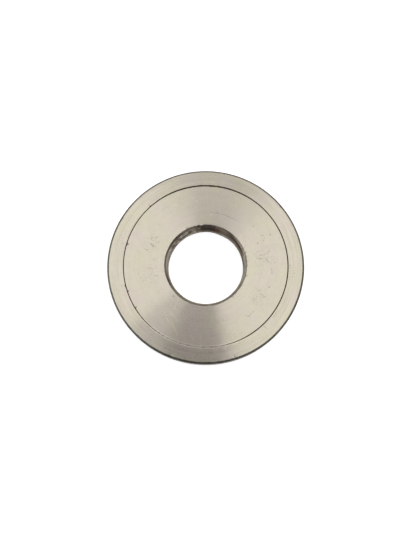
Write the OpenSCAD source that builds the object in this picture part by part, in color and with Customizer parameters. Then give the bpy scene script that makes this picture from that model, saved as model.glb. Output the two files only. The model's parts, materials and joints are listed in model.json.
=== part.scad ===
// Flat washer made of two flush pieces: a centre disc with the bolt hole, and an outer ring
// pressed onto its rim.
// Frame: origin at the centre of the back face, +Z along the hole towards the mouth face,
// which has the hole's wide mouth. Millimetres.

/* [Washer] */
// Outside diameter of the outer ring
outer_d = 54; // [50:0.5:60]
// Thickness of both pieces, from the back face to the mouth face
thickness = 5; // [4.5:0.1:7]
// Chamfer on both outer edges, the same across and down
edge_chamfer = 0.55; // [0.2:0.05:1]

/* [Ring joint] */
// Diameter where the outer ring grips the centre disc
joint_d = 45; // [40:0.5:48]
// Edge break on each piece, which leaves a V-shaped seam line on both faces
seam_break = 0.14; // [0.05:0.01:0.3]

/* [Bolt hole] */
// Diameter of the straight part of the hole, which clears an M20 bolt
bore_d = 20.7; // [20.5:0.1:21.5]
// Diameter of the mouth, where the hole opens on the mouth face
mouth_d = 22.7; // [22.2:0.1:24]
// Diameter at the foot of the tapered lead-in
lead_in_d = 22; // [21.6:0.1:22.2]
// Depth of the lead-in's foot below the mouth face
lead_in_depth = 2.2; // [1.6:0.1:2.4]
// Depth below the mouth face where the straight part begins
bore_start_depth = 2.75; // [2.5:0.05:3]
// Chamfer at the hole's back edge, the same across and down
back_chamfer = 0.4; // [0.1:0.05:0.8]

/* [Hidden] */
$fn = 180;
outer_r = outer_d / 2;
joint_r = joint_d / 2;
bore_r = bore_d / 2;
mouth_r = mouth_d / 2;
lead_in_r = lead_in_d / 2;
ring_colour = [0.78, 0.76, 0.71];
disc_colour = [0.72, 0.70, 0.66];

// Ring of rectangular section, chamfered outside, with its inner edges broken at the seam
module outer_ring() {
    color(ring_colour)
    rotate_extrude()
    polygon([
        [joint_r + seam_break, 0],
        [outer_r - edge_chamfer, 0],
        [outer_r, edge_chamfer],
        [outer_r, thickness - edge_chamfer],
        [outer_r - edge_chamfer, thickness],
        [joint_r + seam_break, thickness],
        [joint_r, thickness - seam_break],
        [joint_r, seam_break]
    ]);
}

// Disc that fills the ring: tapered lead-in, short ledge, straight hole and back chamfer
module centre_disc() {
    color(disc_colour)
    rotate_extrude()
    polygon([
        [bore_r + back_chamfer, 0],
        [joint_r - seam_break, 0],
        [joint_r, seam_break],
        [joint_r, thickness - seam_break],
        [joint_r - seam_break, thickness],
        [mouth_r, thickness],
        [lead_in_r, thickness - lead_in_depth],
        [bore_r, thickness - bore_start_depth],
        [bore_r, back_chamfer]
    ]);
}

outer_ring();
centre_disc();
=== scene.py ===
"""Looks of the flat washer: an outer ring and a centre disc, both lathed as dense meshes.

Lengths are in millimetres until a mesh is made; angles are in degrees, counter-clockwise from +X.
"""
import functools
import json
import math

import bpy
import numpy as np
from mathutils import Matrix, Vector, noise


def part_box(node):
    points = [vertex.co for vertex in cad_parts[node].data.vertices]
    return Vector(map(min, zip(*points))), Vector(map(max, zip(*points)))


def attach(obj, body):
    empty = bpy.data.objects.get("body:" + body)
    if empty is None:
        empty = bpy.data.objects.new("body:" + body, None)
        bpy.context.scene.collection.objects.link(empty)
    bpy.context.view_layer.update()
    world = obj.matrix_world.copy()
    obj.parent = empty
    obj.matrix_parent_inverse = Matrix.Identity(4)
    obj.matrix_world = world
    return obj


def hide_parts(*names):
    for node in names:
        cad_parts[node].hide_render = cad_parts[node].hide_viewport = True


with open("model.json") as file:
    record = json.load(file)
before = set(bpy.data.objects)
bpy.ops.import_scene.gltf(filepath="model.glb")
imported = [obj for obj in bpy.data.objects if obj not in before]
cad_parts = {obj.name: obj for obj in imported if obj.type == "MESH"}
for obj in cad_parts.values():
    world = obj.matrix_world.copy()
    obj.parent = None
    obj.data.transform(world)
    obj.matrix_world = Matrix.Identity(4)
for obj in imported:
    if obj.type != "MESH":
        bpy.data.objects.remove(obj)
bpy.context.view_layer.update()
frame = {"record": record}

# ---------------------------------------------------------------- sizes
MM = 0.001
OUTER_R = round(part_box("outer_ring")[1].x / MM, 2)
JOINT_R = round(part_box("centre_disc")[1].x / MM, 2)
TOP = round(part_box("outer_ring")[1].z / MM, 2)
BORE_R = next(m for m in frame["record"]["mounts"] if m["name"] == "bolt_hole")["dims"]["r_mm"]
# The same as in the CAD model
EDGE_CHAMFER = 0.55
SEAM_BREAK = 0.14
MOUTH_R = 11.35
LEAD_IN_R = 11.0
LEAD_IN_DEPTH = 2.2
BORE_START_DEPTH = 2.75
BACK_CHAMFER = 0.4
# Fillets on the edges
EDGE_ROUND = 0.05
MOUTH_ROUND = 0.11
LEDGE_ROUND = 0.1
RIM_EDGE_ROUND = 0.08
SEAM_ROUND = 0.02
# Mesh density: steps round the axis, and along each fillet
SEGMENTS = 600
ARC_STEPS = 3

# ---------------------------------------------------------------- marks of use on the mouth face
# Dark scratches: (x, y) of both ends, then the half-width
DARK_SCRATCHES = [
    ((-15.3, 6.0), (-14.2, 5.1), 0.24),
    ((-13.9, 7.3), (-13.4, 7.9), 0.16),
    ((-16.9, 4.5), (-15.8, 4.1), 0.14),
    ((-15.1, 6.9), (-14.6, 7.8), 0.14),
    ((14.0, 1.8), (15.6, 1.6), 0.14),
    ((16.2, 2.0), (17.3, 0.6), 0.14),
    ((15.1, 2.6), (16.4, 3.0), 0.12),
    ((13.7, -6.6), (14.5, -7.6), 0.13),
    ((13.9, -8.7), (13.1, -9.9), 0.12),
    ((15.3, -8.3), (16.4, -9.1), 0.13),
    ((10.5, -13.9), (11.6, -14.2), 0.1),
    ((11.6, -14.2), (12.9, -12.8), 0.14),
    ((18.0, -1.1), (18.1, -3.0), 0.1),
    ((1.4, 14.8), (5.2, 14.1), 0.12),
    ((5.2, 14.1), (8.8, 12.4), 0.1),
    ((19.5, -12.5), (18.1, -14.5), 0.14),
    ((15.6, -16.8), (16.4, -17.5), 0.14),
    ((7.5, -24.7), (8.4, -25.7), 0.17),
    ((-15.8, 17.0), (-15.1, 16.3), 0.2),
]
# Scratches painted brighter than the face, a painted highlight that shows where the face is dark
BRIGHT_SCRATCHES = [
    ((-11.2, -13.0), (-10.1, -15.6), 0.12),
    ((-7.4, -9.4), (-8.5, -12.2), 0.1),
    ((-9.0, -13.6), (-7.4, -15.6), 0.1),
    ((-9.0, -16.1), (-7.6, -19.2), 0.14),
    ((-4.1, -19.2), (-3.3, -20.6), 0.1),
    ((-1.6, -18.7), (-1.3, -20.3), 0.1),
    ((1.1, 13.7), (2.2, 14.9), 0.1),
]
# Pits: (x, y), then the radius
PITS = [
    ((-14.3, 1.4), 0.2), ((18.9, 0.6), 0.2), ((17.3, 3.7), 0.2), ((15.6, 8.2), 0.2),
    ((15.9, 6.8), 0.16), ((16.2, 7.5), 0.16), ((14.3, 5.9), 0.2), ((13.2, 10.7), 0.16),
    ((17.8, 8.4), 0.24), ((17.3, -6.2), 0.22), ((-8.6, -8.9), 0.2), ((-21.3, 5.8), 0.34),
    ((-20.9, -7.3), 0.26), ((-18.7, -11.7), 0.24), ((-22.8, 5.9), 0.16),
    ((23.0, -0.2), 0.2), ((23.3, -0.8), 0.18), ((23.6, -3.3), 0.2), ((-22.8, -5.8), 0.2),
    ((9.1, -21.4), 0.16), ((5.8, -22.8), 0.14),
]
# Dings, dented in and painted brighter as a painted highlight: (x, y), then the radius
DINGS = [((-2.4, 18.2), 0.2), ((-3.3, 19.0), 0.16), ((2.2, 23.6), 0.16), ((3.2, -23.0), 0.16)]
# Rubbed patches full of tiny scratches: (x, y), then the radius
RUBBED = [
    ((-14.6, 5.8), 3.6), ((16.0, 2.2), 4.2), ((14.6, -8.8), 3.6),
    ((-15.0, -3.0), 4.5), ((22.9, -3.0), 2.2),
]

# Directions of the fine hairlines all over the faces, and of those that are painted brighter as
# glints near the viewer
SCUFF_TURNS = (12, 63, 97, 118, 151, 168)
GLINT_TURNS = (54, 66, 74)

# Nicks in an edge: angle, half-width along the edge, depth
MOUTH_NICKS = [
    (-51, 0.2, 0.12), (-30, 0.18, 0.12), (-16, 0.2, 0.24), (5, 0.16, 0.1), (17, 0.17, 0.14),
    (24, 0.16, 0.07), (-2, 0.16, 0.07), (11, 0.14, 0.08), (118, 0.3, 0.1),
]
MOUTH_BURRS = [(97, 0.35, 0.24), (275, 0.4, 0.14), (104, 0.25, 0.08)]
INNER_SEAM_NICKS = [(165, 0.35, 0.22), (199, 0.25, 0.13), (212, 0.25, 0.14), (86, 0.5, 0.08)]
OUTER_SEAM_NICKS = [(133, 0.3, 0.18), (195, 0.3, 0.16), (94, 0.6, 0.08), (81, 0.4, 0.08)]
RIM_DENTS = [(38, 0.4, 0.06), (151, 0.5, 0.05), (249, 0.4, 0.06)]

# Depths and heights worn into the metal, and how far past a mark's own size they spread
PIT_DEPTH, PIT_SPREAD = 0.02, 1.3
SCRATCH_DEPTH, SCRATCH_SPREAD = 0.006, 1.6
# The seam's waver: height, and radius of the circle on which its noise is sampled
SEAM_WAVER, SEAM_WAVER_R = 0.02, 22
# The hole's wall: pitch and height of the tool ridges, then waver, torn metal and the score
TOOL_PITCH, TOOL_RIDGE = 0.45, 0.012
WALL_WAVER = 0.015
TEAR = 0.05
SCORE_DEPTH = 0.05

# Stretches with a look of their own: first angle, last angle, soft part at each end
# Painted shade: the far and near reflection sectors of the faces, made darker still in the base
# colour
FAR_SECTOR_SHADE = (52, 124, 14)
NEAR_SECTOR_SHADE = (226, 290, 14)
# Painted shade: stretches where the mouth's edge and the rim's edge are painted dark
NEAR_MOUTH_SHADE = (226, 292, 10)
RIM_EDGE_SHADE = (-40, 172, 15)
# Painted highlight: the near stretch where the seam's edges, the face beside it and some hairlines
# are painted bright
SEAM_HIGHLIGHT_SECTOR = (222, 292, 12)
RUSTY_WALL = (69.5, 76, 2.2)
TORN_WALL = (99, 156, 4)
CALM_WALL = (48, 70, 3)
SCORED_WALL = (-10, 50, 5)
# The same with an amount first: the seam's extra width, the painted shade on the rim's chamfer and
# wall, the hole's lip
SEAM_WIDTHS = [(0.11, 58, 122, 22), (0.03, -60, 40, 12), (-0.04, 234, 285, 8)]
# Painted shade on the chamfer and the rim's wall, by angle
RIM_SHADE_SECTORS = [(0.6, -30, 172, 15), (0.3, 30, 150, 15)]
NEAR_RIM_SHADE = [(0.65, 246, 278, 12)]
WALL_LIP = [(0.05, 96, 165, 10)]
# A bulge of that lip: reach, angle, half-width
LIP_BULGE = (0.14, 66, 12)

# Tone of the hole's wall, 0 dark brown to 1 light and a little more where a glint is painted: at
# each angle, a value for each depth, where depth is a share of the thickness
# Beyond brown stains, these tones paint shade and reflections: dark where the wall lies in shade,
# light bands where it reflects the light
WALL_DEPTHS = (0.02, 0.12, 0.32, 0.46, 0.54, 0.68, 0.85)
WALL_TONES = [
    (0, (0.2, 0.4, 0.35, 1.8, 0.2, 0.1, 0.1)),
    (10, (0.2, 0.35, 0.4, 1.5, 0.1, 0.08, 0.08)),
    (20, (0.2, 0.4, 1.1, 0.4, 0.25, 0.2, 0.15)),
    (30, (0.2, 0.4, 0.8, 0.08, 0.4, 0.25, 0.15)),
    (40, (0.2, 0.5, 0.25, 0.15, 0.45, 0.25, 0.15)),
    (49, (0.15, 0.2, 0.06, 0.2, 0.35, 0.12, 0.1)),
    (53, (0.1, 0.12, 0.1, 0.3, 0.4, 0.2, 0.1)),
    (62, (0.08, 0.14, 0.42, 0.6, 0.55, 0.3, 0.15)),
    (72, (0.08, 0.16, 0.42, 0.32, 0.3, 0.18, 0.1)),
    (76, (0.03, 0.03, 0.1, 0.16, 0.16, 0.14, 0.08)),
    (95, (0.0, 0.0, 0.05, 0.18, 0.18, 0.12, 0.05)),
    (100, (0.0, 0.02, 0.03, 0.3, 0.34, 0.15, 0.1)),
    (108, (0.06, 0.16, 0.36, 0.7, 0.6, 0.25, 0.15)),
    (120, (0.08, 0.16, 0.28, 0.55, 0.3, 0.2, 0.15)),
    (130, (0.04, 0.08, 0.1, 0.5, 0.26, 0.16, 0.1)),
    (145, (0.04, 0.08, 0.1, 0.55, 0.26, 0.16, 0.1)),
    (160, (0.1, 0.16, 0.18, 0.9, 0.55, 0.2, 0.12)),
    (175, (0.08, 0.14, 0.15, 0.9, 0.75, 0.2, 0.12)),
    (190, (0.1, 0.15, 0.14, 0.45, 1.0, 0.5, 0.3)),
    (202, (0.1, 0.12, 0.06, 0.12, 1.0, 0.6, 0.3)),
    (212, (0.1, 0.15, 0.15, 0.3, 1.0, 0.7, 0.4)),
    (228, (0.05, 0.1, 0.2, 0.5, 0.9, 0.8, 0.5)),
    (285, (0.05, 0.1, 0.2, 0.5, 0.9, 0.8, 0.5)),
    (295, (0.25, 0.3, 0.35, 0.5, 0.9, 0.8, 0.5)),
    (330, (0.25, 0.3, 0.3, 0.5, 0.8, 0.6, 0.4)),
    (345, (0.25, 0.35, 0.4, 0.9, 0.9, 0.6, 0.2)),
]


# ---------------------------------------------------------------- small numeric helpers
def bell(distance, width):
    """A smooth bell of height 1 at distance 0 that fades over width."""
    return np.exp(-((distance / width) ** 2))


def ramp(value, low, high):
    """0 below low and 1 above high, with a smooth step between."""
    t = np.clip((value - low) / (high - low), 0, 1)
    return t * t * (3 - 2 * t)


def turn(angle, centre):
    """Signed turn from centre to angle, within half a turn either way."""
    return (angle - centre + 180) % 360 - 180


def sector(angle, start, end, soft):
    """1 inside the sector from start to end, and 0 outside it, with soft sides."""
    half = (end - start) / 2
    return 1 - ramp(np.abs(turn(angle, (start + end) / 2)), half - soft, half + soft)


def amounts(angle, stretches):
    """Sum of the amounts of several stretches at each angle."""
    return sum(amount * sector(angle, *stretch) for amount, *stretch in stretches)


def along_edge(angle, centre, radius):
    """Distance along an edge of that radius from the angle centre."""
    return np.radians(turn(angle, centre)) * radius


def rough(x, y, z, scale, seed):
    """Gradient noise from about -1 to 1, at arrays of points."""
    shift = Vector((seed * 3.1, seed * 1.7, seed * 2.3))
    points = np.stack(np.broadcast_arrays(x, y, z), axis=-1)
    values = [noise.noise(Vector(p) * scale + shift) for p in points.reshape(-1, 3)]
    return np.array(values).reshape(points.shape[:-1])


def distance_to_line(x, y, start, end):
    """Distance of points from the straight line between two ends."""
    ax, ay = start
    dx, dy = end[0] - ax, end[1] - ay
    t = np.clip(((x - ax) * dx + (y - ay) * dy) / (dx * dx + dy * dy), 0, 1)
    return np.hypot(x - ax - t * dx, y - ay - t * dy)


# ---------------------------------------------------------------- lathed profiles
def rounded_profile(corners):
    """Rows of (radius, height, region) round a closed outline.

    Each corner is (radius, height, fillet, its region, the next stretch's region, step).
    """
    count = len(corners)
    rows, starts, ends = [], [], []
    for i, (r, z, fillet, *_) in enumerate(corners):
        here = np.array((r, z))
        before = np.array(corners[i - 1][:2]) - here
        after = np.array(corners[(i + 1) % count][:2]) - here
        before /= np.linalg.norm(before)
        after /= np.linalg.norm(after)
        half = math.acos(np.clip(before @ after, -1, 1)) / 2
        cut = fillet / math.tan(half)
        middle = here + (before + after) / np.linalg.norm(before + after) * fillet / math.sin(half)
        starts.append((here + before * cut, middle))
        ends.append(here + after * cut)
    for i, (_, _, fillet, corner_region, region, step) in enumerate(corners):
        start, middle = starts[i]
        for k in range(ARC_STEPS):
            spoke = (start - middle) * (ARC_STEPS - k) + (ends[i] - middle) * k
            point = middle + spoke / np.linalg.norm(spoke) * fillet
            rows.append((*point, corner_region))
        stretch = starts[(i + 1) % count][0] - ends[i]
        pieces = max(1, round(np.linalg.norm(stretch) / step))
        rows += [(*(ends[i] + stretch * k / pieces), region) for k in range(pieces)]
    return rows


def disc_rows():
    """The centre disc's outline, from the back chamfer outwards and round."""
    return rounded_profile([
        (BORE_R + BACK_CHAMFER, 0, EDGE_ROUND, "back_chamfer", "back", 1.0),
        (JOINT_R - SEAM_BREAK, 0, SEAM_ROUND, "seam_edge", "break", 0.1),
        (JOINT_R, SEAM_BREAK, SEAM_ROUND, "break", "joint", 2.4),
        (JOINT_R, TOP - SEAM_BREAK, SEAM_ROUND, "break", "break", 0.1),
        (JOINT_R - SEAM_BREAK, TOP, SEAM_ROUND, "seam_edge", "face", 0.17),
        (MOUTH_R, TOP, MOUTH_ROUND, "mouth_edge", "wall", 0.11),
        (LEAD_IN_R, TOP - LEAD_IN_DEPTH, LEDGE_ROUND, "wall", "wall", 0.1),
        (BORE_R, TOP - BORE_START_DEPTH, LEDGE_ROUND, "wall", "wall", 0.11),
        (BORE_R, BACK_CHAMFER, EDGE_ROUND, "back_chamfer", "back_chamfer", 0.2),
    ])


def ring_rows():
    """The outer ring's outline, from the back of the seam outwards and round."""
    return rounded_profile([
        (JOINT_R + SEAM_BREAK, 0, SEAM_ROUND, "seam_edge", "back", 0.3),
        (OUTER_R - EDGE_CHAMFER, 0, EDGE_ROUND, "chamfer", "chamfer", 0.12),
        (OUTER_R, EDGE_CHAMFER, EDGE_ROUND, "chamfer", "chamfer", 0.16),
        (OUTER_R, TOP - EDGE_CHAMFER, EDGE_ROUND, "chamfer", "chamfer", 0.08),
        (OUTER_R - EDGE_CHAMFER, TOP, RIM_EDGE_ROUND, "rim_edge", "face", 0.08),
        (JOINT_R + SEAM_BREAK, TOP, SEAM_ROUND, "seam_edge", "break", 0.1),
        (JOINT_R, TOP - SEAM_BREAK, SEAM_ROUND, "break", "joint", 2.4),
        (JOINT_R, SEAM_BREAK, SEAM_ROUND, "break", "break", 0.1),
    ])


# ---------------------------------------------------------------- shapes worn into the metal
def dent_face(r, z, angle):
    """Lowers the mouth face at its pits, dings and scratches."""
    x, y = r * np.cos(np.radians(angle)), r * np.sin(np.radians(angle))
    on_top = ramp(z, TOP - 0.3, TOP - 0.02)
    depth = np.zeros_like(z)
    for (px, py), radius in PITS + DINGS:
        depth += PIT_DEPTH * bell(np.hypot(x - px, y - py), radius * PIT_SPREAD)
    for start, end, width in DARK_SCRATCHES:
        depth += SCRATCH_DEPTH * bell(distance_to_line(x, y, start, end), width * SCRATCH_SPREAD)
    return z - depth * on_top


def widen_seam(r, z, angle, side, nicks):
    """Varies the edge break beside the seam; side is -1 on the disc and 1 on the ring."""
    gap = np.abs(r - JOINT_R)
    near = bell(gap, 0.3) * ramp(z, TOP - 0.3, TOP - 0.1)
    cosine, sine = np.cos(np.radians(angle[0])), np.sin(np.radians(angle[0]))
    waver = rough(cosine * SEAM_WAVER_R, sine * SEAM_WAVER_R, side, scale=0.9, seed=4)
    extra = SEAM_WAVER * waver + amounts(angle[0], SEAM_WIDTHS)
    for centre, width, depth in nicks:
        extra += depth * bell(along_edge(angle[0], centre, JOINT_R), width)
    moved = np.where(gap > 0.01, extra[None, :] * near, 0)
    return r + side * moved


def painted_rim_shade(z, angle):
    """Painted shade on the chamfer and the rim's wall, set by angle and stronger towards the top
    face.
    """
    coat = np.maximum(amounts(angle, RIM_SHADE_SECTORS), amounts(angle, NEAR_RIM_SHADE))
    return coat * (0.6 + 0.4 * ramp(z, 0, TOP))


def nick_mouth(r, z, angle):
    """Notches and burrs on the edge where the hole opens."""
    at_edge = bell(r - MOUTH_R, 0.35) * bell(TOP - z, 0.5)
    for centre, width, depth in MOUTH_NICKS:
        notch = depth * bell(along_edge(angle, centre, MOUTH_R), width) * at_edge
        z = z - notch * 0.8
        r = np.where(z < TOP - 0.02, r + notch * 0.5, r)
    for centre, width, reach in MOUTH_BURRS:
        r = r - reach * bell(along_edge(angle, centre, MOUTH_R), width) * at_edge
    return r, z


def score_height(angle):
    """Height of the dark score that climbs the right side of the hole's wall."""
    return TOP * ramp(turn(angle, 20), -27, 28)


def wall_masks(z, angle):
    """Finish of the hole's wall: its tone from 0, dark brown, to 1, light, holding stains and also
    painted shade and reflections, and its rough areas.
    """
    depth = (TOP - z) / TOP
    angles = [row[0] for row in WALL_TONES]
    levels = [
        np.interp(angle[0], angles, [row[1][k] for row in WALL_TONES], period=360)
        for k in range(len(WALL_DEPTHS))
    ]
    columns = np.array(levels).T
    tone = np.stack(
        [np.interp(depth[:, j], WALL_DEPTHS, column) for j, column in enumerate(columns)], axis=1
    )
    lower = ramp(depth, 0.36, 0.46)
    return {
        "tone": tone,
        "rust": sector(angle, *RUSTY_WALL) * (1 - 0.6 * ramp(depth, 0.5, 0.9)),
        "torn": sector(angle, *TORN_WALL) * lower,
    }


def carve_wall(r, z, angle, masks):
    """Tool marks, torn metal and the climbing score on the hole's wall."""
    x, y = r * np.cos(np.radians(angle)), r * np.sin(np.radians(angle))
    ridges = np.sin(2 * np.pi * (z / TOOL_PITCH + angle / 360))
    fine = rough(x, y, z * 2.5, scale=1.6, seed=1)
    coarse = rough(x, y, z * 1.5, scale=0.7, seed=2)
    calm = 1 - 0.8 * sector(angle, *CALM_WALL)
    height = calm * (TOOL_RIDGE * ridges + WALL_WAVER * (fine + coarse))
    height += masks["torn"] * TEAR * (fine + np.maximum(coarse, 0))
    height -= SCORE_DEPTH * bell(z - score_height(angle), 0.5) * sector(angle, *SCORED_WALL)
    inside = ramp(z, BACK_CHAMFER, BACK_CHAMFER + 0.3) * (1 - ramp(z, TOP - 0.3, TOP - 0.1))
    inside *= 0.35 + 0.65 * ramp(z, BACK_CHAMFER + 0.3, BACK_CHAMFER + 1.1)
    on_wall = 1 - ramp(r, MOUTH_R + 0.02, MOUTH_R + 0.1)
    reach, centre, half_width = LIP_BULGE
    lip = reach * bell(turn(angle, centre), half_width) + amounts(angle, WALL_LIP)
    lip = lip * ramp(TOP - z, LEAD_IN_DEPTH, BORE_START_DEPTH)
    return r - (height * inside + lip) * on_wall


def shape_disc(r, z, angle):
    """The centre disc's worn form and its masks."""
    masks = wall_masks(z, angle)
    wall_rows = np.where(r[:, 0] < MOUTH_R + 0.1)[0]
    part = {name: mask[wall_rows] for name, mask in masks.items()}
    r, z = r.copy(), z.copy()
    r[wall_rows] = carve_wall(r[wall_rows], z[wall_rows], angle[wall_rows], part)
    r, z = nick_mouth(r, z, angle)
    r = widen_seam(r, z, angle, -1, INNER_SEAM_NICKS)
    # Painted highlight by the seam on the near side
    masks["clean"] = sector(angle, *SEAM_HIGHLIGHT_SECTOR)
    # Painted shade in the far reflection sector
    masks["film"] = 0.4 * sector(angle, *FAR_SECTOR_SHADE)
    # Painted shade on the mouth's edge on the near side
    masks["dull"] = sector(angle, *NEAR_MOUTH_SHADE) * (1 - ramp(r, MOUTH_R + 0.5, MOUTH_R + 1))
    return r, dent_face(r, z, angle), masks


def shape_ring(r, z, angle):
    """The outer ring's worn form and its masks."""
    r = widen_seam(r, z, angle, 1, OUTER_SEAM_NICKS)
    at_edge = bell(r - (OUTER_R - EDGE_CHAMFER), 0.4) * bell(TOP - z, 0.4)
    for centre, width, depth in RIM_DENTS:
        dent = depth * bell(along_edge(angle, centre, OUTER_R), width) * at_edge
        r, z = r - dent, z - dent
    masks = {
        # Painted highlight by the seam on the near side
        "clean": sector(angle, *SEAM_HIGHLIGHT_SECTOR),
        # Painted shade on the chamfer and the rim's wall
        "stain": painted_rim_shade(z, angle),
        # Painted shade in the near and far reflection sectors
        "film": sector(angle, *NEAR_SECTOR_SHADE) + sector(angle, *FAR_SECTOR_SHADE),
        # Painted shade on the rim's edge
        "dull": 0.8 * sector(angle, *RIM_EDGE_SHADE) * ramp(r, OUTER_R - 1.2, OUTER_R - 0.8),
    }
    return r, dent_face(r, z, angle), masks


# ---------------------------------------------------------------- meshes
def lathe(name, rows, shape):
    """A closed mesh turned from rows; shape(r, z, angle) gives its worn form and its masks."""
    degrees = np.arange(SEGMENTS) * 360 / SEGMENTS
    r, angle = np.meshgrid([row[0] for row in rows], degrees, indexing="ij")
    z = np.meshgrid([row[1] for row in rows], degrees, indexing="ij")[0]
    regions = [row[2] for row in rows]
    r, z, masks = shape(r, z, angle)
    around = np.radians(angle)
    points = np.stack([r * np.cos(around), r * np.sin(around), z], axis=-1)
    i, j = np.meshgrid(np.arange(len(rows)), np.arange(SEGMENTS), indexing="ij")
    i2, j2 = (i + 1) % len(rows), (j + 1) % SEGMENTS
    quads = np.stack(
        [i * SEGMENTS + j, i * SEGMENTS + j2, i2 * SEGMENTS + j2, i2 * SEGMENTS + j], axis=-1
    )
    mesh = bpy.data.meshes.new(name)
    mesh.from_pydata((points.reshape(-1, 3) * MM).tolist(), [], quads.reshape(-1, 4).tolist())
    for mask, values in masks.items():
        mesh.attributes.new(mask, "FLOAT", "POINT").data.foreach_set("value", values.ravel())
    mesh.update()
    mesh.shade_smooth()
    piece = bpy.data.objects.new(name, mesh)
    bpy.context.scene.collection.objects.link(piece)
    return piece, np.repeat(regions, SEGMENTS)


def paint(piece, face_regions, finishes):
    """Gives each face the material of its region; finishes maps region to material."""
    materials = list(dict.fromkeys(finishes.values()))
    for material in materials:
        piece.data.materials.append(material)
    index = {region: materials.index(material) for region, material in finishes.items()}
    piece.data.polygons.foreach_set("material_index", [index[r] for r in face_regions])
    piece.data.update()


# ---------------------------------------------------------------- colours
STEEL = (0.60, 0.56, 0.47)
PINK_TINT = (1.01, 0.985, 1.03)
GREEN_TINT = (0.995, 1.01, 0.965)
# Edge colours lighter than the steel's: rubbed metal, and partly a painted highlight along the edges
MOUTH_EDGE = (0.70, 0.66, 0.57)
RIM_EDGE = (0.72, 0.68, 0.58)
SEAM_EDGE = (0.55, 0.51, 0.43)
# Dark brown for the painted shade on the edges
EDGE_SHADE_COLOUR = (0.10, 0.085, 0.07)
# Chamfer colours, far darker than the steel's: painted shade that stands in for the chamfers' dark
# reflections
CHAMFER_DARK = (0.068, 0.063, 0.053)
CHAMFER_LIGHT = (0.15, 0.147, 0.125)
# Colour of the painted shade on the chamfers
CHAMFER_SHADE_COLOUR = (0.075, 0.06, 0.047)
WALL_DARK = (0.03, 0.02, 0.0135)
WALL_BROWN = (0.185, 0.152, 0.115)
WALL_LIGHT = (0.45, 0.415, 0.345)
TORN_CHIP = (0.66, 0.62, 0.53)
TORN_PIT = (0.05, 0.04, 0.03)
RUST = (0.11, 0.05, 0.03)
DIRT_DARK = (0.055, 0.039, 0.027)
DIRT_LIGHT = (0.14, 0.11, 0.08)
# Near-white metal for the painted highlight on the seam's edges
SEAM_HIGHLIGHT = (0.9, 0.86, 0.78)


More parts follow.
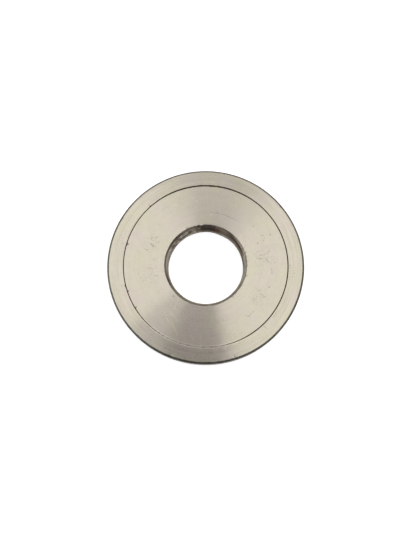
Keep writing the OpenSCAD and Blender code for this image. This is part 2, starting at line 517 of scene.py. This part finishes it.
# ---------------------------------------------------------------- materials
class Nodes:
    """Shorthand for building one material's node tree."""

    def __init__(self, name):
        self.material = bpy.data.materials.new(name)
        self.material.use_nodes = True
        self.tree = self.material.node_tree
        self.shader = self.tree.nodes["Principled BSDF"]

    def add(self, kind, inputs=None, **settings):
        """A new node, with its inputs set or linked and its other settings set."""
        node = self.tree.nodes.new(kind)
        for key, value in settings.items():
            setattr(node, key, value)
        for key, value in (inputs or {}).items():
            self.feed(node.inputs[key], value)
        return node

    def feed(self, socket, value):
        """Links a socket to another one, or sets it to a plain value."""
        if isinstance(value, bpy.types.NodeSocket):
            self.tree.links.new(value, socket)
        else:
            socket.default_value = value

    def set(self, **sockets):
        """Sets or links the shader's own sockets; an underscore stands for a space."""
        for key, value in sockets.items():
            self.feed(self.shader.inputs[key.replace("_", " ")], value)

    def math(self, operation, a, b=0.0, c=0.0, clamp=False):
        """A sum or product of plain values."""
        node = self.add("ShaderNodeMath", {0: a, 1: b, 2: c}, operation=operation, use_clamp=clamp)
        return node.outputs[0]

    def vector(self, operation, a, b=(0, 0, 0), output=0):
        """A sum, product or measure of vectors."""
        return self.add("ShaderNodeVectorMath", {0: a, 1: b}, operation=operation).outputs[output]

    def scale(self, vector, factor):
        """A vector or colour times one factor."""
        node = self.add("ShaderNodeVectorMath", {0: vector, "Scale": factor}, operation="SCALE")
        return node.outputs[0]

    def fade(self, value, low, high, start=0.0, end=1.0):
        """start below low and end above high, with a smooth step between."""
        inputs = {"Value": value, "From Min": low, "From Max": high, "To Min": start, "To Max": end}
        node = self.add("ShaderNodeMapRange", inputs, interpolation_type="SMOOTHSTEP")
        return node.outputs["Result"]

    def noise(self, place, scale, detail=2.0, roughness=0.5):
        """Smooth noise from 0 to 1, with scale features per millimetre."""
        inputs = {"Vector": place, "Scale": scale, "Detail": detail, "Roughness": roughness}
        return self.add("ShaderNodeTexNoise", inputs).outputs[0]

    def mix(self, share, a, b):
        """Colour a where share is 0 and colour b where it is 1."""
        node = self.add("ShaderNodeMix", data_type="RGBA")
        self.feed(node.inputs[0], share)
        self.feed(node.inputs[6], (*a, 1) if isinstance(a, tuple) else a)
        self.feed(node.inputs[7], (*b, 1) if isinstance(b, tuple) else b)
        return node.outputs[2]

    def bump(self, height, depth_mm):
        """A normal tilted by height, which is depth_mm high at 1."""
        inputs = {"Height": height, "Distance": depth_mm * MM, "Strength": 1.0}
        return self.add("ShaderNodeBump", inputs).outputs[0]

    def place(self):
        """The point on the object, in millimetres."""
        return self.scale(self.add("ShaderNodeTexCoord").outputs["Object"], 1 / MM)

    def mask(self, name):
        """One of the masks that the lathe stores on the mesh."""
        return self.add("ShaderNodeAttribute", attribute_name=name).outputs["Fac"]

    def line(self, place, start, end, width):
        """1 on the line between two points, fading to 0 at width from it."""
        along = Vector((*end, 0)) - Vector((*start, 0))
        offset = self.vector("SUBTRACT", place, (*start, 0))
        share = self.vector("DOT_PRODUCT", offset, along / along.length_squared, output="Value")
        share = self.math("MULTIPLY", share, 1.0, clamp=True)
        nearest = self.scale(tuple(along), share)
        distance = self.vector("DISTANCE", offset, nearest, output="Value")
        return self.fade(distance, width * 0.3, width, 1.0, 0.0)

    def dot(self, place, centre, radius):
        """1 at a point, fading to 0 at radius from it."""
        distance = self.vector("DISTANCE", place, (*centre, 0), output="Value")
        return self.fade(distance, radius * 0.4, radius, 1.0, 0.0)

    def union(self, masks):
        """The largest of several masks at each point."""
        return functools.reduce(lambda total, mask: self.math("MAXIMUM", total, mask), masks)

    def rings(self, flat, density, change, detail=2.0):
        """Long arcs round the axis: density per millimetre across them, slow change along."""
        radius = self.vector("LENGTH", flat, output="Value")
        spread = self.scale(self.vector("NORMALIZE", flat), change)
        across = self.add("ShaderNodeCombineXYZ", {"Z": self.math("MULTIPLY", radius, density)})
        return self.noise(self.vector("ADD", spread, across.outputs[0]), scale=1.0, detail=detail)

    def hairlines(self, place, degrees, density, seed):
        """Sparse fine scratches that all run in one direction."""
        inputs = {"Vector": place, "Angle": math.radians(degrees)}
        turned = self.add("ShaderNodeVectorRotate", inputs, rotation_type="Z_AXIS")
        stretched = self.vector("MULTIPLY", turned.outputs[0], (0.22, 6.0, 1.0))
        stretched = self.vector("ADD", stretched, (seed * 7.3, seed * 11.9, seed))
        streaks = self.noise(stretched, scale=1.0)
        return self.fade(streaks, 0.74 - density, 0.8 - density)

    def unrolled(self, place):
        """The hole's wall unrolled: millimetres along its arc, then height."""
        parts = self.add("ShaderNodeSeparateXYZ", {0: place}).outputs
        arc = self.math("MULTIPLY", self.math("ARCTAN2", parts["Y"], parts["X"]), BORE_R)
        return self.add("ShaderNodeCombineXYZ", {"X": arc, "Y": parts["Z"]}).outputs[0]


def piece_marks(on_ring):
    """The scratches and pits whose middle lies on the ring, or on the disc."""
    def here(*points):
        """Whether the middle of some points is on the wanted piece."""
        middle = np.mean(points, axis=0)
        return (math.hypot(*middle) > JOINT_R) == on_ring

    scratches = {"dark": DARK_SCRATCHES, "bright": BRIGHT_SCRATCHES}
    spots = {"dark": PITS, "bright": DINGS, "rubbed": RUBBED}
    lines = {name: [m for m in marks if here(m[0], m[1])] for name, marks in scratches.items()}
    dots = {name: [m for m in marks if here(m[0])] for name, marks in spots.items()}
    return lines, dots


def shade_by(n, shade, mask, amount, middle=0.0):
    """shade times 1 + amount * (mask - middle)."""
    return n.math("MULTIPLY", shade, n.math("MULTIPLY_ADD", mask, amount, 1 - amount * middle))


def hairline_field(n, flat, turns, density, first_seed):
    """Hairlines in several directions at once."""
    return n.union([
        n.hairlines(flat, degrees, density, first_seed + k) for k, degrees in enumerate(turns)
    ])


def face_marks(n, flat, shade, height, lines, dots):
    """Adds scratches, pits and rubbed patches to a face's shade and height, and painted highlights
    on bright scratches, dings and beside the seam.
    """
    jitter = n.add("ShaderNodeTexNoise", {"Vector": flat, "Scale": 2.2, "Detail": 3.0}).outputs[1]
    jitter = n.scale(n.vector("SUBTRACT", jitter, (0.5, 0.5, 0.5)), 0.3)
    ragged = n.vector("MULTIPLY", n.vector("ADD", flat, jitter), (1, 1, 0))
    broken = n.fade(n.noise(flat, scale=1.7), 0.35, 0.6, 0.25, 1.0)
    dark = n.math("MULTIPLY", n.union([n.line(ragged, *m) for m in lines["dark"]]), broken)
    pits = n.union([n.dot(ragged, *m) for m in dots["dark"]])
    # Painted highlight: bright scratches and dings made lighter than the face
    bright = n.union(
        [n.line(ragged, *m) for m in lines["bright"]] + [n.dot(ragged, *m) for m in dots["bright"]]
    )
    rubbed = n.union([n.dot(flat, *m) for m in dots["rubbed"]])
    crumble = n.noise(ragged, scale=1.5, detail=4.0, roughness=0.7)
    crumbs = n.math("MULTIPLY", rubbed, n.fade(crumble, 0.5, 0.7))
    radius = n.vector("LENGTH", flat, output="Value")
    from_seam = n.math("ABSOLUTE", n.math("SUBTRACT", radius, JOINT_R))
    # Painted highlight on the face beside the seam, on the near side
    lip = n.math("MULTIPLY", n.mask("clean"), n.fade(from_seam, 0.34, 0.5, 1.0, 0.0))
    lip = n.math("MULTIPLY", lip, n.math("MULTIPLY_ADD", broken, 0.5, 0.5))
    for mask, amount in ((crumbs, -0.28), (dark, -0.45), (pits, -0.5), (bright, 0.24), (lip, 0.3)):
        shade = shade_by(n, shade, mask, amount)
    return shade, n.math("MULTIPLY_ADD", dark, -1.2, height)


def turned_steel(name, roughness, grooves, contrast, marks=None):
    """Steel faced on a lathe: rings of tool marks, hairlines, painted shade in the darker reflection
    sectors, painted glints, and the listed marks if any.
    """
    n = Nodes(name)
    flat = n.vector("MULTIPLY", n.place(), (1, 1, 0))
    wide_rings = n.rings(flat, density=1.5, change=1.6)
    middle_rings = n.rings(flat, density=3.2, change=2.5, detail=3.0)
    fine_rings = n.rings(flat, density=7.0, change=0.5, detail=3.0)
    patches = n.noise(flat, scale=0.13, detail=3.0)
    mottle = n.noise(flat, scale=0.5, detail=3.0, roughness=0.6)
    grain = n.noise(flat, scale=3.2, detail=3.0, roughness=0.6)
    specks = n.fade(n.noise(flat, scale=2.4, detail=1.0), 0.73, 0.8)
    scuffs = hairline_field(n, flat, SCUFF_TURNS, density=0.03, first_seed=1)
    # Painted glints: hairlines painted brighter by the seam on the near side
    glints = hairline_field(n, flat, GLINT_TURNS, density=0.07, first_seed=11)
    glints = n.math("MULTIPLY", glints, n.mask("clean"))
    pink, green = (tuple(c * k for c, k in zip(STEEL, tint)) for tint in (PINK_TINT, GREEN_TINT))
    tone = n.mix(n.fade(patches, 0.3, 0.7), pink, green)
    shade = n.math("MULTIPLY_ADD", wide_rings, contrast, 1 - contrast / 2)
    # Among these, painted shade darkens the faces in the darker reflection sectors
    for mask, amount, middle in (
        (middle_rings, contrast, 0.5), (mottle, 0.17, 0.5), (grain, 0.2, 0.5), (scuffs, -0.06, 0),
        (specks, -0.08, 0), (n.mask("film"), -0.1, 0), (glints, 0.13, 0),
    ):
        shade = shade_by(n, shade, mask, amount, middle)
    height = n.math("MULTIPLY_ADD", scuffs, -0.4, n.math("MULTIPLY", fine_rings, grooves))
    if marks:
        shade, height = face_marks(n, flat, shade, height, *marks)
    n.set(
        Base_Color=n.scale(tone, shade), Metallic=1.0,
        Roughness=n.math("MULTIPLY_ADD", mottle, 0.05, roughness - 0.025),
        Anisotropic=1.0, Anisotropic_Rotation=0.25,
        Tangent=n.add("ShaderNodeTangent", direction_type="RADIAL", axis="Z").outputs[0],
        Normal=n.bump(height, 0.004),
    )
    return n.material


def chamfer_finish(name):
    """The turned chamfers and the rim's wall: dark streaked metal with blotchy painted shade by
    angle.
    """
    n = Nodes(name)
    place = n.place()
    streaks = n.noise(n.vector("MULTIPLY", place, (0.4, 0.4, 6.0)), scale=1.0, detail=3.0)
    blotches = n.noise(place, scale=0.5, detail=3.0, roughness=0.6)
    share = n.math("MULTIPLY_ADD", streaks, 0.5, n.math("MULTIPLY", blotches, 0.5))
    metal = n.mix(n.fade(share, 0.3, 0.7), CHAMFER_DARK, CHAMFER_LIGHT)
    # Blotchy painted shade by angle, from the mask
    chamfer_shade = n.math("MULTIPLY", n.mask("stain"), n.fade(blotches, 0.25, 0.5, 0.5, 1.0))
    n.set(
        Base_Color=n.mix(chamfer_shade, metal, CHAMFER_SHADE_COLOUR),
        Metallic=1.0,
        Roughness=n.math("MULTIPLY_ADD", blotches, 0.2, 0.25),
        Normal=n.bump(streaks, 0.02),
    )
    return n.material


def bare_edge(name, colour, roughness):
    """A small round edge, rubbed bright and partly a painted highlight, and darkened with painted
    shade where its mask says so.
    """
    n = Nodes(name)
    wear = n.noise(n.place(), scale=1.2, detail=3.0)
    dull = tuple(c * 0.6 for c in colour)
    metal = n.mix(n.fade(wear, 0.35, 0.6), dull, colour)
    # The mask paints shade on the edge at some angles
    n.set(
        Base_Color=n.mix(n.mask("dull"), metal, EDGE_SHADE_COLOUR),
        Metallic=1.0,
        Roughness=n.math("MULTIPLY_ADD", wear, 0.2, roughness - 0.1),
        Normal=n.bump(wear, 0.03),
    )
    return n.material


def bore_finish(name):
    """The hole's wall: tool marks, brown stains mixed with painted shade and reflections, a rusty
    streak and a torn patch.
    """
    n = Nodes(name)
    place = n.place()
    tone, rust, torn = n.mask("tone"), n.mask("rust"), n.mask("torn")
    flattened = n.vector("MULTIPLY", n.unrolled(place), (0.8, 4.5, 0))
    speckle = n.noise(flattened, scale=1.0, detail=4.0, roughness=0.6)
    cloud = n.noise(place, scale=0.9, detail=3.0)
    streaks = n.noise(n.vector("MULTIPLY", place, (0.5, 0.5, 5.5)), scale=1.0, detail=3.0)
    uneven = n.math("MULTIPLY_ADD", streaks, 0.5, n.math("MULTIPLY_ADD", cloud, 0.4, 0.55))
    # The tone mask carries stains and also painted shade and reflections
    level = n.math("MULTIPLY", tone, uneven)
    brown = n.mix(n.fade(level, 0.0, 0.4), WALL_DARK, WALL_BROWN)
    colour = n.mix(n.fade(level, 0.3, 1.1), brown, WALL_LIGHT)
    chips = n.math("MULTIPLY", torn, n.fade(speckle, 0.53, 0.63))
    colour = n.mix(chips, colour, TORN_CHIP)
    pits = n.math("MULTIPLY", torn, n.fade(speckle, 0.48, 0.38))
    colour = n.mix(pits, colour, TORN_PIT)
    colour = n.mix(n.math("MULTIPLY", rust, n.fade(cloud, 0.3, 0.5)), colour, RUST)
    height = n.math("MULTIPLY_ADD", speckle, n.math("MULTIPLY_ADD", torn, 2.0, 0.6), streaks)
    n.set(
        Base_Color=colour,
        Metallic=n.math("MULTIPLY_ADD", rust, -0.8, 1.0),
        Roughness=n.math("MULTIPLY_ADD", level, -0.2, 0.55),
        Normal=n.bump(height, 0.03),
    )
    return n.material


def seam_finish(name):
    """Old grease and dirt in the V of the seam, and a painted highlight of near-white metal along
    its top edges on the near side.
    """
    n = Nodes(name)
    place = n.place()
    specks = n.noise(place, scale=1.8, detail=3.0)
    height = n.add("ShaderNodeSeparateXYZ", {0: place}).outputs["Z"]
    # Painted highlight on the seam's top edges, in specks, on the near side
    clean = n.math("MULTIPLY", n.mask("clean"), n.fade(specks, 0.3, 0.5))
    clean = n.math("MULTIPLY", clean, n.fade(height, TOP - 0.09, TOP - 0.05))
    dirt = n.mix(n.fade(specks, 0.5, 0.7), DIRT_DARK, DIRT_LIGHT)
    n.set(
        Base_Color=n.mix(clean, dirt, SEAM_HIGHLIGHT),
        Metallic=n.fade(clean, 0.2, 0.8, 0.3, 1.0),
        Roughness=n.fade(clean, 0.0, 1.0, 0.7, 0.35),
        Normal=n.bump(specks, 0.03),
    )
    return n.material


# ---------------------------------------------------------------- pieces
disc_marks, ring_marks = piece_marks(on_ring=False), piece_marks(on_ring=True)
disc_steel = turned_steel("disc_steel", roughness=0.28, grooves=1.0, contrast=0.07, marks=disc_marks)
ring_steel = turned_steel("ring_steel", roughness=0.28, grooves=1.2, contrast=0.26, marks=ring_marks)
disc_back_steel = turned_steel("disc_back_steel", roughness=0.29, grooves=1.0, contrast=0.1)
ring_back_steel = turned_steel("ring_back_steel", roughness=0.31, grooves=1.2, contrast=0.26)
chamfer_steel = chamfer_finish("chamfer_steel")
mouth_edge_steel = bare_edge("mouth_edge_steel", MOUTH_EDGE, roughness=0.3)
seam_edge_steel = bare_edge("seam_edge_steel", SEAM_EDGE, roughness=0.35)
rim_edge_steel = bare_edge("rim_edge_steel", RIM_EDGE, roughness=0.3)
bore_steel = bore_finish("bore_steel")
seam_dirt = seam_finish("seam_dirt")

disc, disc_regions = lathe("centre_disc_turned", disc_rows(), shape_disc)
paint(disc, disc_regions, {
    "face": disc_steel, "back": disc_back_steel, "wall": bore_steel, "back_chamfer": bore_steel,
    "mouth_edge": mouth_edge_steel, "seam_edge": seam_edge_steel,
    "break": seam_dirt, "joint": seam_dirt,
})
ring, ring_regions = lathe("outer_ring_turned", ring_rows(), shape_ring)
paint(ring, ring_regions, {
    "face": ring_steel, "back": ring_back_steel, "chamfer": chamfer_steel,
    "rim_edge": rim_edge_steel, "seam_edge": seam_edge_steel, "break": seam_dirt, "joint": seam_dirt,
})
for piece, node, slot in ((disc, "centre_disc", "disc_steel"), (ring, "outer_ring", "ring_steel")):
    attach(piece, "root")
    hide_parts(node)


# ---------------------------------------------------------------- stage
# Metres from here on
RIGHT, AWAY, UP = Vector((1, 0, 0)), Vector((0, 1, 0)), Vector((0, 0, 1))
FLOOR_REACH = (-0.8, 0.8)
FLOOR_DROP = 1e-5
FLOOR_GREY = (0.82, 0.82, 0.82)
FLOOR_GLOW = 0.85

TILT = math.radians(11.3)
DISTANCE = 0.2049
AIM = Vector((0.63 * MM, -0.48 * MM, TOP * MM))
SENSOR_MM = 36
LENS_MM = 50.66
CLIP_START = 0.01

# Cards just behind the camera, which the turned faces reflect as darker sectors: name, gap
# behind the camera, colour, glow, and corners to the right and up
CARDS = [
    ("dark_card", 0.010, (0.045, 0.036, 0.052), 0.6,
     ((-0.14, -0.2), (0.052, -0.2), (0.008, 0.078), (-0.008, 0.078))),
    ("grey_card", 0.015, (0.25, 0.25, 0.262), 1.0,
     ((-0.35, -0.2), (-0.02, -0.2), (0.0, 0.078), (-0.014, 0.078))),
]
# A dark wall on the viewer's side, which darkens the near side of the rim
WALL_BACK = 0.45
WALL_SPAN = (-0.35, 0.35)
WALL_HEIGHT = (0.0, 0.3)
WALL_COLOUR = (0.04, 0.03, 0.025)

# The sky's strength rises from the first value to the second as it climbs
SKY_COLOUR = (1.0, 0.99, 0.97, 1)
SKY_CLIMB = (0.05, 0.6)
SKY_STRENGTH = (0.35, 1.2)


def sheet_of(name, points, colour, roughness, glow=0.0):
    """A flat four-sided sheet that belongs to the stage."""
    mesh = bpy.data.meshes.new(name)
    mesh.from_pydata([tuple(p) for p in points], [], [(0, 1, 2, 3)])
    paint_nodes = Nodes(name + "_paint")
    paint_nodes.set(Base_Color=(*colour, 1), Roughness=roughness)
    paint_nodes.set(Emission_Color=(*colour, 1), Emission_Strength=glow)
    mesh.materials.append(paint_nodes.material)
    thing = bpy.data.objects.new(name, mesh)
    bpy.context.scene.collection.objects.link(thing)
    return thing


def rectangle(centre, right, up, x_range, y_range):
    """Corners of a rectangle spanned by two unit vectors about a centre."""
    (x0, x1), (y0, y1) = x_range, y_range
    return [centre + right * x + up * y for x, y in ((x0, y0), (x1, y0), (x1, y1), (x0, y1))]


def add_camera(back_axis):
    """The camera, looking at the aim from along back_axis."""
    camera_data = bpy.data.cameras.new("camera")
    camera_data.sensor_width = SENSOR_MM
    camera_data.lens = LENS_MM
    camera_data.clip_start = CLIP_START
    camera = bpy.data.objects.new("camera", camera_data)
    bpy.context.scene.collection.objects.link(camera)
    bpy.context.scene.camera = camera
    camera.location = AIM + back_axis * DISTANCE
    camera.rotation_mode = "QUATERNION"
    camera.rotation_quaternion = back_axis.to_track_quat("Z", "Y")
    return camera


def add_cards(camera, back_axis):
    """The cards and the wall that darken parts of the reflections; the camera doesn't see them."""
    card_up = back_axis.cross(RIGHT)
    unseen = []
    for name, gap, colour, glow, outline in CARDS:
        centre = camera.location + back_axis * gap
        corners = [centre + RIGHT * x + card_up * y for x, y in outline]
        unseen.append(sheet_of(name, corners, colour, roughness=0.8, glow=glow))
    corners = rectangle(AWAY * -WALL_BACK, RIGHT, UP, WALL_SPAN, WALL_HEIGHT)
    unseen.append(sheet_of("dark_wall", corners, WALL_COLOUR, roughness=0.8))
    for sheet in unseen:
        sheet.visible_camera = False


def add_sky():
    """A pale surround that grows brighter towards the top."""
    world = bpy.data.worlds.new("studio")
    bpy.context.scene.world = world
    world.use_nodes = True
    tree = world.node_tree
    direction = tree.nodes.new("ShaderNodeTexCoord").outputs["Generated"]
    split = tree.nodes.new("ShaderNodeSeparateXYZ")
    climb = tree.nodes.new("ShaderNodeMapRange")
    climb.interpolation_type = "SMOOTHSTEP"
    climb.inputs["From Min"].default_value, climb.inputs["From Max"].default_value = SKY_CLIMB
    climb.inputs["To Min"].default_value, climb.inputs["To Max"].default_value = SKY_STRENGTH
    background = tree.nodes["Background"]
    background.inputs["Color"].default_value = SKY_COLOUR
    tree.links.new(direction, split.inputs[0])
    tree.links.new(split.outputs["Z"], climb.inputs["Value"])
    tree.links.new(climb.outputs["Result"], background.inputs["Strength"])


floor_corners = rectangle(UP * -FLOOR_DROP, RIGHT, AWAY, FLOOR_REACH, FLOOR_REACH)
sheet_of("floor", floor_corners, FLOOR_GREY, roughness=0.9, glow=FLOOR_GLOW)
view_axis = Vector((0, -math.sin(TILT), math.cos(TILT)))
add_cards(add_camera(view_axis), view_axis)
add_sky()
bpy.context.scene.view_settings.view_transform = "Standard"
